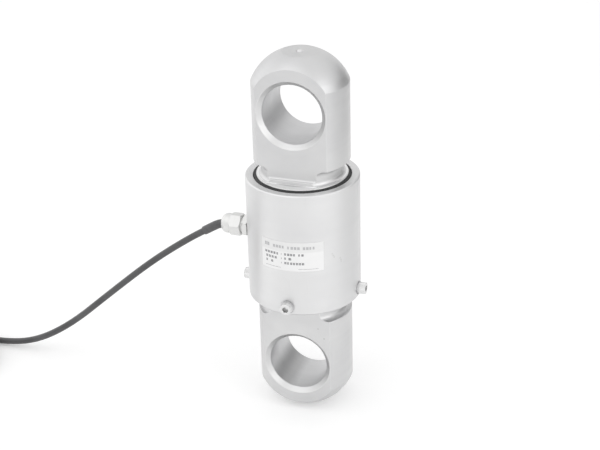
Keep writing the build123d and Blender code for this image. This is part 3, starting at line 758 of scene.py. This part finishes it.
foil, tree, shader, where = finish_of("foil_label", Metallic=0.0, IOR=1.45)
fibre = noise(tree, where["Object"], 1400.0, 4.0)
wave = noise(tree, where["Object"], 60.0, 2.0)
rise = put(tree, "SeparateXYZ", {0: where["Object"]}).outputs[2]
paper = tint(tree, spread(tree, wave, 0.35, 0.65), paper_pale, paper_deep)
connect(
    tree, shader,
    tint(tree, spread(tree, rise, band_low - band_blur, band_low + band_blur), paper, band_grey),
    satin(tree, fibre, 0.32, 0.45),
    relief(tree, wave, depth=0.00006, strength=0.4),
)
dress("rating_plate", foil)

ink, tree, shader, where = finish_of("label_ink", Metallic=0.0)
thin = noise(tree, where["Object"], 1300.0)
rise = put(tree, "SeparateXYZ", {0: where["Object"]}).outputs[2]
on_band = calc(tree, "GREATER_THAN", rise, band_low)
row_ink = tint(tree, spread(tree, thin, 0.35, 0.7), ink_dark, ink_faded)
connect(tree, shader, tint(tree, on_band, row_ink, ink_on_band), satin(tree, thin, 0.4, 0.6))

# Each row of print: left end, middle, height, pitch and the widths of its bars, in millimetres
rows = [
    (-20.4, 7.6, 2.6, 2.0, [1.6, 1.9]),
    (-13.4, 7.2, 2.1, 2.3, [1.7, 1.8, 1.6, 1.4]),
    (-2.4, 7.0, 2.1, 2.35, [1.1, 1.8, 1.8, 1.8]),
    (8.6, 7.0, 2.1, 2.3, [1.7, 1.8, 1.3, 1.3]),
    (-20.4, 1.5, 1.8, 2.4, [1.8, 1.7, 1.7, 1.6, 1.2]),
    (-7.3, 1.6, 1.2, 1.0, [0.45]),
    (-4.9, 1.7, 1.8, 2.15, [1.3, 1.7, 1.6, 1.4]),
    (5.3, 1.7, 1.8, 2.2, [1.1, 1.6]),
    (-19.6, -1.9, 1.8, 2.4, [1.6, 1.8, 1.6, 1.7]),
    (-7.3, -1.8, 1.2, 1.0, [0.45]),
    (-4.9, -1.7, 1.8, 3.2, [1.2, 1.9]),
    (-19.6, -5.2, 1.8, 4.2, [1.2, 1.7]),
    (-7.3, -5.2, 1.2, 1.0, [0.45]),
    (-4.9, -5.2, 1.8, 2.1, [1.6, 1.2, 1.5, 1.4, 1.7, 1.6, 1.6]),
    (-20.4, -9.1, 0.25, 1.0, [12.8]),
    (5.2, -9.4, 0.25, 1.0, [14.4]),
]


def printed_bar(left, middle, width, height):
    """A flat bar of print, in the plane of the flattened label."""
    bpy.ops.mesh.primitive_grid_add(
        x_subdivisions=max(1, round(width / bar_facet)), y_subdivisions=1, size=1,
        location=(left + width / 2, middle, 0),
    )
    return blank((width, height, 1))


def thicken(piece, wall, offset=-1.0):
    """Gives a sheet a wall, behind its faces unless the offset says otherwise."""
    shell = piece.modifiers.new("wall", "SOLIDIFY")
    shell.thickness = wall
    shell.offset = offset
    apply_all(piece)


bars = []
for left, middle, tall, pitch, widths in rows:
    for number, width in enumerate(widths):
        start = (left + number * pitch) * millimetre
        bars.append(printed_bar(start, middle * millimetre, width * millimetre, tall * millimetre))
join(*bars)
label_print = bpy.context.active_object
label_print.name = "rating_plate_print"
for vertex in label_print.data.vertices:
    angle = plate_turn + vertex.co.x / plate_radius
    reach = plate_radius + ink_lift
    vertex.co = (reach * math.sin(angle), -reach * math.cos(angle), plate_middle + vertex.co.y)
thicken(label_print, ink_thickness)
coat(label_print, ink)
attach(label_print, "root")

# Signal cable: 3 m of screened cable in a black jacket, 5 mm thick. It leaves the gland, droops
# to the floor, is wound into a neat coil beside the cell, and ends in four cores and a shield.

cable_radius = 0.0025
cable_route = [
    (-0.0540, 0.0, 0.13725),
    (-0.0630, 0.0, 0.13725),
    (-0.0742, 0.0, 0.13065),
    (-0.0935, 0.0002, 0.1182),
    (-0.1242, 0.0008, 0.0951),
    (-0.1614, 0.0019, 0.0619),
    (-0.1990, 0.0026, 0.0276),
    (-0.2325, 0.0022, 0.0072),
    (-0.2630, 0.0008, 0.0026),
]
tail_route = [
    (-0.3289, -0.0515, 0.0174),
    (-0.3262, -0.0675, 0.0124),
    (-0.3180, -0.0805, 0.0062),
    (-0.3055, -0.0883, 0.0033),
    (-0.2906, -0.0899, 0.0033),
]
coil_centre = Vector((-0.2930, -0.0354, 0.0))
coil_columns = [0.036, 0.031, 0.026, 0.021]
coil_layers = 4
coil_base = 0.0012
coil_start = 90
coil_turns = 15.25
coil_slack = 1.003
points_per_turn = 16
column_change = (0.80, 0.97)
layer_change = (-0.03, 0.14)
jacket_dark = (0.076, 0.076, 0.078)
jacket_worn = (0.113, 0.113, 0.116)


def ease(value, low, high):
    """From 0 to 1 between two values, with a soft start and end."""
    share = min(1.0, max(0.0, (value - low) / (high - low)))
    return share * share * (3 - 2 * share)


def column_of(turn):
    """Radius of a full turn of the winding, out and in again from layer to layer."""
    layer, place = divmod(turn, len(coil_columns))
    return coil_columns[place] if layer % 2 == 0 else coil_columns[-1 - place]


coil_points = []
for number in range(round(coil_turns * points_per_turn) + 1):
    turn = number / points_per_turn
    whole = int(turn)
    now, then = column_of(whole), column_of(whole + 1)
    reach = now + (then - now) * ease(turn - whole, *column_change)
    reach /= math.cos(math.pi / points_per_turn) * coil_slack
    layers = range(1, coil_layers)
    climb = sum(ease(turn - layer * len(coil_columns), *layer_change) for layer in layers)
    angle = math.radians(coil_start + 360 * turn)
    rest = coil_base + cable_radius + 2 * cable_radius * climb
    coil_points.append(coil_centre + Vector((reach * math.cos(angle), reach * math.sin(angle), rest)))


def round_curve(name, radius, sides, capped=True):
    """A round curve with no line in it yet."""
    data = bpy.data.curves.new(name, "CURVE")
    data.dimensions = "3D"
    data.bevel_depth = radius
    data.bevel_resolution = sides
    data.use_fill_caps = capped
    curve = bpy.data.objects.new(name, data)
    bpy.context.collection.objects.link(curve)
    return curve


def add_line(curve, kind, points):
    """Adds a line of some points to a curve."""
    spline = curve.data.splines.new(kind)
    spline.points.add(len(points) - 1)
    for point, place in zip(spline.points, points):
        point.co = (*place, 1.0)
    return spline


def cord_curve(name, points, radius, resolution, sides):
    """A round cord along a smooth line that the points control."""
    cord = round_curve(name, radius, sides)
    cord.data.resolution_u = resolution
    spline = add_line(cord, "NURBS", points)
    spline.order_u = 3
    spline.use_endpoint_u = True
    return cord


def line_of(curve):
    """The points of a cord's smooth line, in order, from a bare copy of it."""
    bare = twin_of(curve)
    bare.data.bevel_depth = 0
    seen = bare.evaluated_get(bpy.context.evaluated_depsgraph_get())
    points = [vertex.co.copy() for vertex in bpy.data.meshes.new_from_object(seen).vertices]
    bpy.data.objects.remove(bare)
    return points


jacket, tree, shader, where = finish_of("cable_jacket_black", Metallic=0.0, IOR=1.48)
fine = noise(tree, where["Object"], 1900.0)
patch = noise(tree, where["Object"], 45.0)
connect(
    tree, shader,
    tint(tree, spread(tree, patch, 0.35, 0.7), jacket_dark, jacket_worn),
    satin(tree, fine, 0.38, 0.52),
    relief(tree, fine, depth=0.00003, strength=0.35),
)

whole_route = cable_route + coil_points + tail_route
cable = cord_curve("signal_cable", whole_route, cable_radius, resolution=6, sides=5)
coat(cable, jacket)
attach(cable, "root")
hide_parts("cable", "cable_coil", "cable_tail")
dress("cable_inner_end", jacket)

# Shrink sleeves: black heat-shrink tube, one as a boot at the gland and one at the far end,
# where the jacket is cut back. Each clings to the cable and ends in a square-cut, raised edge.

boot_start_x = -0.0574
boot_end_x = -0.0794
boot_low = 0.1
boot_wall = 0.0008
end_sleeve_wall = 0.0006
end_sleeve_length = 0.008
tail_points = 40
sleeve_rim = 0.00015
ripple_depth = 0.012
ripple_beats = (9.0, 2.3)
tube_crease = 35
shrink_dark = (0.086, 0.086, 0.088)
shrink_worn = (0.122, 0.122, 0.125)


def soften(piece, width, segments=2, crease=50):
    """Rounds the edges of a piece that are sharper than a crease, in degrees."""
    rim = piece.modifiers.new("rim", "BEVEL")
    rim.width = width
    rim.segments = segments
    rim.limit_method = "ANGLE"
    rim.angle_limit = math.radians(crease)
    apply_all(piece)


def tube_on(name, points, wall):
    """A shrunk sleeve round the cable along part of its line, with a wall of its own."""
    tube = round_curve(name, cable_radius + wall, sides=8, capped=False)
    spline = add_line(tube, "POLY", points)
    for number, point in enumerate(spline.points):
        ripple = math.prod(math.sin(beat * number) for beat in ripple_beats)
        point.radius = 1.0 - ripple_depth * ripple
    select_only(tube)
    bpy.ops.object.convert(target="MESH")
    tube = bpy.context.active_object
    thicken(tube, wall)
    soften(tube, sleeve_rim)
    smooth(tube, tube_crease)
    return tube


shrink, tree, shader, where = finish_of("shrink_tube_black", Metallic=0.0, IOR=1.5)
fine = noise(tree, where["Object"], 1200.0)
ripples = noise(tree, where["Object"], 260.0, 2.0)
connect(
    tree, shader,
    tint(tree, spread(tree, ripples, 0.35, 0.7), shrink_dark, shrink_worn),
    satin(tree, fine, 0.34, 0.5),
    relief(tree, ripples, depth=0.0001, strength=0.3),
)

cable_line = line_of(cable)
held_up = [point for point in cable_line if point.z > boot_low]
boot_line = [point for point in held_up if boot_end_x <= point.x <= boot_start_x]
boot = tube_on("gland_boot", boot_line, boot_wall)
coat(boot, shrink)
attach(boot, "root")
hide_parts("cable_boot")

cable_end = cable_line[-1]
last_part = cable_line[-tail_points:]
end_line = [point for point in last_part if (point - cable_end).length <= end_sleeve_length]
end_sleeve = tube_on("far_end_sleeve", end_line, end_sleeve_wall)
coat(end_sleeve, shrink)
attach(end_sleeve, "root")
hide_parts("cable_end_sleeve")

# Coil ties: two natural nylon cable ties round the bundle. Each is a flat strap that goes round
# the bundle once and passes through its own square head, where its end is cut off.

tie_angles = [math.radians(-38), math.radians(142)]
tie_width = 0.0036
tie_thickness = 0.0011
tie_corner = 0.0017
tie_softness = 0.0002
bundle_size = 0.0202
bundle_radius = 0.0285
bundle_middle = 0.0112
head_size = (0.0052, 0.0052, 0.0036)
head_sink = 0.0003
head_softness = 0.0004
slot_size = (0.0018, 0.0039, 0.0050)
slot_back = 0.0003
cut_end_size = (tie_thickness, tie_width, 0.0068)
cut_end_rise = 0.0012
tie_crease = 35
block_crease = 30

tie_nylon = grained(
    "tie_nylon", scale=1300.0, first=(0.80, 0.78, 0.72), second=(0.70, 0.68, 0.62),
    roughness=(0.35, 0.5), strength=0.4,
    Metallic=0.0, IOR=1.52, Subsurface_Weight=0.15, Subsurface_Scale=0.002,
)


def block(size, place=(0, 0, 0)):
    """A block of nylon, to be cut or rounded."""
    bpy.ops.mesh.primitive_cube_add(size=1, location=place)
    return blank(size)


tie = block((bundle_size, tie_width, bundle_size))
select_only(tie)
bpy.ops.object.mode_set(mode="EDIT")
pick("faces", lambda f: abs(f.normal.y) > nearly)
bpy.ops.mesh.delete(type="FACE")
pick("edges", lambda e: abs(e.verts[0].co.y - e.verts[1].co.y) > tie_width * nearly)
bpy.ops.mesh.bevel(offset=tie_corner, segments=5, affect="EDGES")
bpy.ops.object.mode_set(mode="OBJECT")
thicken(tie, tie_thickness, offset=1.0)
soften(tie, tie_softness)
head_x = (bundle_size - head_size[0]) / 2
head_z = bundle_size / 2 + tie_thickness + head_size[2] / 2 - head_sink
head = block(head_size, (head_x, 0, head_z))
carve(head, block(slot_size, (head_x - slot_back, 0, head_z)))
soften(head, head_softness, segments=3, crease=block_crease)
cut_end = block(cut_end_size, (head_x - slot_back, 0, head_z + cut_end_rise))
soften(cut_end, tie_softness, crease=block_crease)
join(tie, head, cut_end)
smooth(tie, tie_crease)
coat(tie, tie_nylon)
other_tie = twin_of(tie)
for number, (piece, angle) in enumerate(zip((tie, other_tie), tie_angles)):
    piece.name = f"coil_tie_{number + 1}"
    place = Matrix.Translation(coil_centre) @ Matrix.Rotation(angle, 4, "Z")
    settle(piece, place @ Matrix.Translation((bundle_radius, 0, bundle_middle)))
    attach(piece, "root")
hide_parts("coil_ties")

# Far end: four insulated cores and the twisted shield, fanned out on the floor. The end of each
# core is stripped, and its fine tinned strands are twisted together.

core_radius = 0.00065
lead_circle = 0.0014
lead_straight = 0.004
lead_fall_share = 0.35
lead_floor_gap = 0.00005
stripped = 0.006
strand_radius = 0.00017
strand_lean = 0.000341
strand_lay = 0.005
strand_step = 0.0004
fewest_steps = 10
outer_strands = 6
tiny = 1e-12

# Each lead: its place in the cable and its fan, in degrees, its reach and its two colours
leads = {
    "red": (162.0, -28.0, 0.041, (0.45, 0.02, 0.015), (0.35, 0.015, 0.01)),
    "black": (234.0, -13.0, 0.038, (0.03, 0.03, 0.031), (0.05, 0.05, 0.052)),
    "green": (90.0, 3.0, 0.043, (0.02, 0.22, 0.06), (0.015, 0.16, 0.04)),
    "white": (306.0, 17.0, 0.036, (0.72, 0.71, 0.68), (0.62, 0.61, 0.58)),
    "shield": (18.0, 33.0, 0.030, (0.62, 0.62, 0.62), (0.50, 0.50, 0.50)),
}


def twisted(line, strand):
    """The points of one strand, wound round a line with the others. The last one runs inside."""
    lengths = [0.0]
    for start, end in zip(line, line[1:]):
        lengths.append(lengths[-1] + (end - start).length)
    steps = max(fewest_steps, round(lengths[-1] / strand_step))
    points = []
    for number in range(steps + 1):
        far = lengths[-1] * number / steps
        part = max(i for i, length in enumerate(lengths[:-1]) if length <= far + tiny)
        share = (far - lengths[part]) / (lengths[part + 1] - lengths[part])
        middle = line[part].lerp(line[part + 1], share)
        way = (line[part + 1] - line[part]).normalized()
        side = way.cross(Vector((0, 0, 1))).normalized()
        over = side.cross(way)
        turn = math.tau * (strand / outer_strands + far / strand_lay)
        lean = 0.0 if strand == outer_strands else strand_lean
        points.append(middle + side * (lean * math.cos(turn)) + over * (lean * math.sin(turn)))
    return points


tinned = grained(
    "tinned_copper", scale=3000.0, first=(0.72, 0.71, 0.69), second=(0.60, 0.58, 0.55),
    roughness=(0.25, 0.4), Metallic=1.0,
)
last, end = Vector(tail_route[-2]), Vector(tail_route[-1])
ahead = (end - last).normalized()
across = Vector((-ahead.y, ahead.x, 0))
rest = core_radius + lead_floor_gap
for name, (place, fan, reach, colour, shade) in leads.items():
    place, fan = math.radians(place), math.radians(fan)
    aside = across * (lead_circle * math.cos(place))
    start = end + aside + Vector((0, 0, lead_circle * math.sin(place)))
    away = ahead * math.cos(fan) + across * math.sin(fan)
    first = start + ahead * lead_straight
    second = first + away * (reach * lead_fall_share)
    third = first + away * reach
    bare_from = third - away * stripped
    route = [start, first] + [Vector((point.x, point.y, rest)) for point in (second, bare_from)]
    tip = Vector((third.x, third.y, rest))
    if name == "shield":
        guide = cord_curve("shield_line", route + [tip], core_radius, resolution=12, sides=2)
        strand_line = line_of(guide)
        bpy.data.objects.remove(guide)
    else:
        core = cord_curve("core_" + name, route, core_radius, resolution=10, sides=4)
        finish = grained(
            "core_" + name, scale=1500.0, first=colour, second=shade,
            roughness=(0.35, 0.5), strength=0.3, Metallic=0.0, IOR=1.5,
        )
        coat(core, finish)
        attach(core, "root")
        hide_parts("lead_" + name)
        strand_line = [route[-1], tip]
    strands = round_curve("strands_" + name, strand_radius, sides=1)
    for strand in range(outer_strands + 1):
        add_line(strands, "POLY", twisted(strand_line, strand))
    coat(strands, tinned)
    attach(strands, "root")
    if name == "shield":
        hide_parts("lead_shield")

# Studio: a plain white floor under a white surround, with broad soft lamps to the left, to the
# right and high in front. Five cards show in polished faces alone: a dark one at the right, a
# pale one behind and three on the floor.

view_azimuth = math.radians(18.64)
view_elevation = math.radians(26.12)
view_roll = math.radians(-1.5)
view_distance = 1.0495
picture_width = 600
focal_pixels = 1452.07
target_side = -0.00272
target_height = 0.14297
sensor = 36.0
floor_grey = (0.80, 0.80, 0.80, 1)
floor_shine = 0.1
white = (1, 1, 1, 1)
seen_share = 0.28
air_strength = 0.84
straight_up = Vector((0, 0, 1))

back = Vector((
    math.sin(view_azimuth) * math.cos(view_elevation),
    -math.cos(view_azimuth) * math.cos(view_elevation),
    math.sin(view_elevation),
))
right = Vector((math.cos(view_azimuth), math.sin(view_azimuth), 0))
up = back.cross(right)
rolled_right = right * math.cos(view_roll) + up * math.sin(view_roll)
rolled_up = up * math.cos(view_roll) - right * math.sin(view_roll)
target = right * target_side + Vector((0, 0, target_height))
camera = bpy.data.objects.new("camera", bpy.data.cameras.new("camera"))
bpy.context.collection.objects.link(camera)
camera.data.sensor_width = sensor
camera.data.lens = focal_pixels * sensor / picture_width
camera.data.clip_start = 0.01
camera.data.clip_end = 50
axes = Matrix((rolled_right, rolled_up, back)).transposed()
camera.matrix_world = Matrix.Translation(target + back * view_distance) @ axes.to_4x4()
bpy.context.scene.camera = camera


def seen_directly(tree):
    """1 for what the camera sees, also in metal and through glass, and 0 for light on things."""
    path = put(tree, "LightPath").outputs
    metal = calc(tree, "MAXIMUM", path["Is Glossy Ray"], path["Is Transmission Ray"])
    return calc(tree, "MAXIMUM", path["Is Camera Ray"], metal)


bpy.ops.mesh.primitive_plane_add(size=8)
floor = bpy.context.active_object
floor.name = "studio_floor"
floor_white, tree, shader, where = finish_of("floor_white", Roughness=0.8, Metallic=0.0)
shader.inputs["Base Color"].default_value = floor_grey
shader.inputs["Specular IOR Level"].default_value = floor_shine
shader.inputs["Emission Color"].default_value = white
glow = calc(tree, "MULTIPLY", seen_directly(tree), seen_share)
tree.links.new(glow, shader.inputs["Emission Strength"])
floor.data.materials.append(floor_white)

world = bpy.data.worlds.new("studio_air")
world.use_nodes = True
bpy.context.scene.world = world
tree = world.node_tree
strength = spread(tree, seen_directly(tree), 0.0, 1.0, air_strength, 1.0)
tree.nodes["Background"].inputs["Color"].default_value = white
tree.links.new(strength, tree.nodes["Background"].inputs["Strength"])


def soft_lamp(name, place, size, power):
    """A square soft box that faces the middle of the cell."""
    lamp = bpy.data.objects.new(name, bpy.data.lights.new(name, "AREA"))
    bpy.context.collection.objects.link(lamp)
    lamp.data.size = size
    lamp.data.energy = power
    lamp.location = place
    lamp.rotation_euler = (Vector(place) - target).to_track_quat("Z", "Y").to_euler()
    lamp.visible_camera = False


soft_lamp("lamp_left", (-1.0, 0.2, 0.5), size=0.9, power=0.8)
soft_lamp("lamp_right", (0.85, -0.33, 0.58), size=0.8, power=1.5)
soft_lamp("lamp_key", (-0.55, -0.85, 1.75), size=2.0, power=5.0)


def reflected_card(name, place, size, grey, glow, faces=None):
    """A card that only reflections show, turned to the middle of the cell or to a direction."""
    finish, tree, shader, where = finish_of(name, Roughness=0.9, Metallic=0.0)
    shader.inputs["Base Color"].default_value = (grey, grey, grey, 1)
    shader.inputs["Emission Color"].default_value = white
    shader.inputs["Emission Strength"].default_value = glow
    bpy.ops.mesh.primitive_plane_add(size=1)
    card = bpy.context.active_object
    card.name = name
    card.scale = (*size, 1)
    card.location = place
    card.rotation_euler = (faces or Vector(place) - target).to_track_quat("Z", "Y").to_euler()
    card.data.materials.append(finish)
    card.visible_camera = False
    card.visible_diffuse = False
    card.visible_shadow = False


reflected_card("card_right_back", (0.87, 0.85, 0.33), size=(1.24, 0.72), grey=0.38, glow=0.0)
reflected_card(
    "card_floor_right", (0.81, 0.60, 0.002), size=(1.2, 1.2), grey=0.78, glow=0.11, faces=straight_up
)
reflected_card(
    "card_floor_left", (-0.24, -0.13, 0.002), size=(0.20, 0.20), grey=0.78, glow=0.45, faces=straight_up
)
reflected_card(
    "card_floor_front", (0.24, -0.22, 0.002), size=(0.24, 0.24), grey=0.78, glow=0.40, faces=straight_up
)
reflected_card("card_behind", (0.20, 1.30, 0.75), size=(2.2, 1.4), grey=0.80, glow=0.22)

bpy.context.scene.view_settings.view_transform = "Standard"
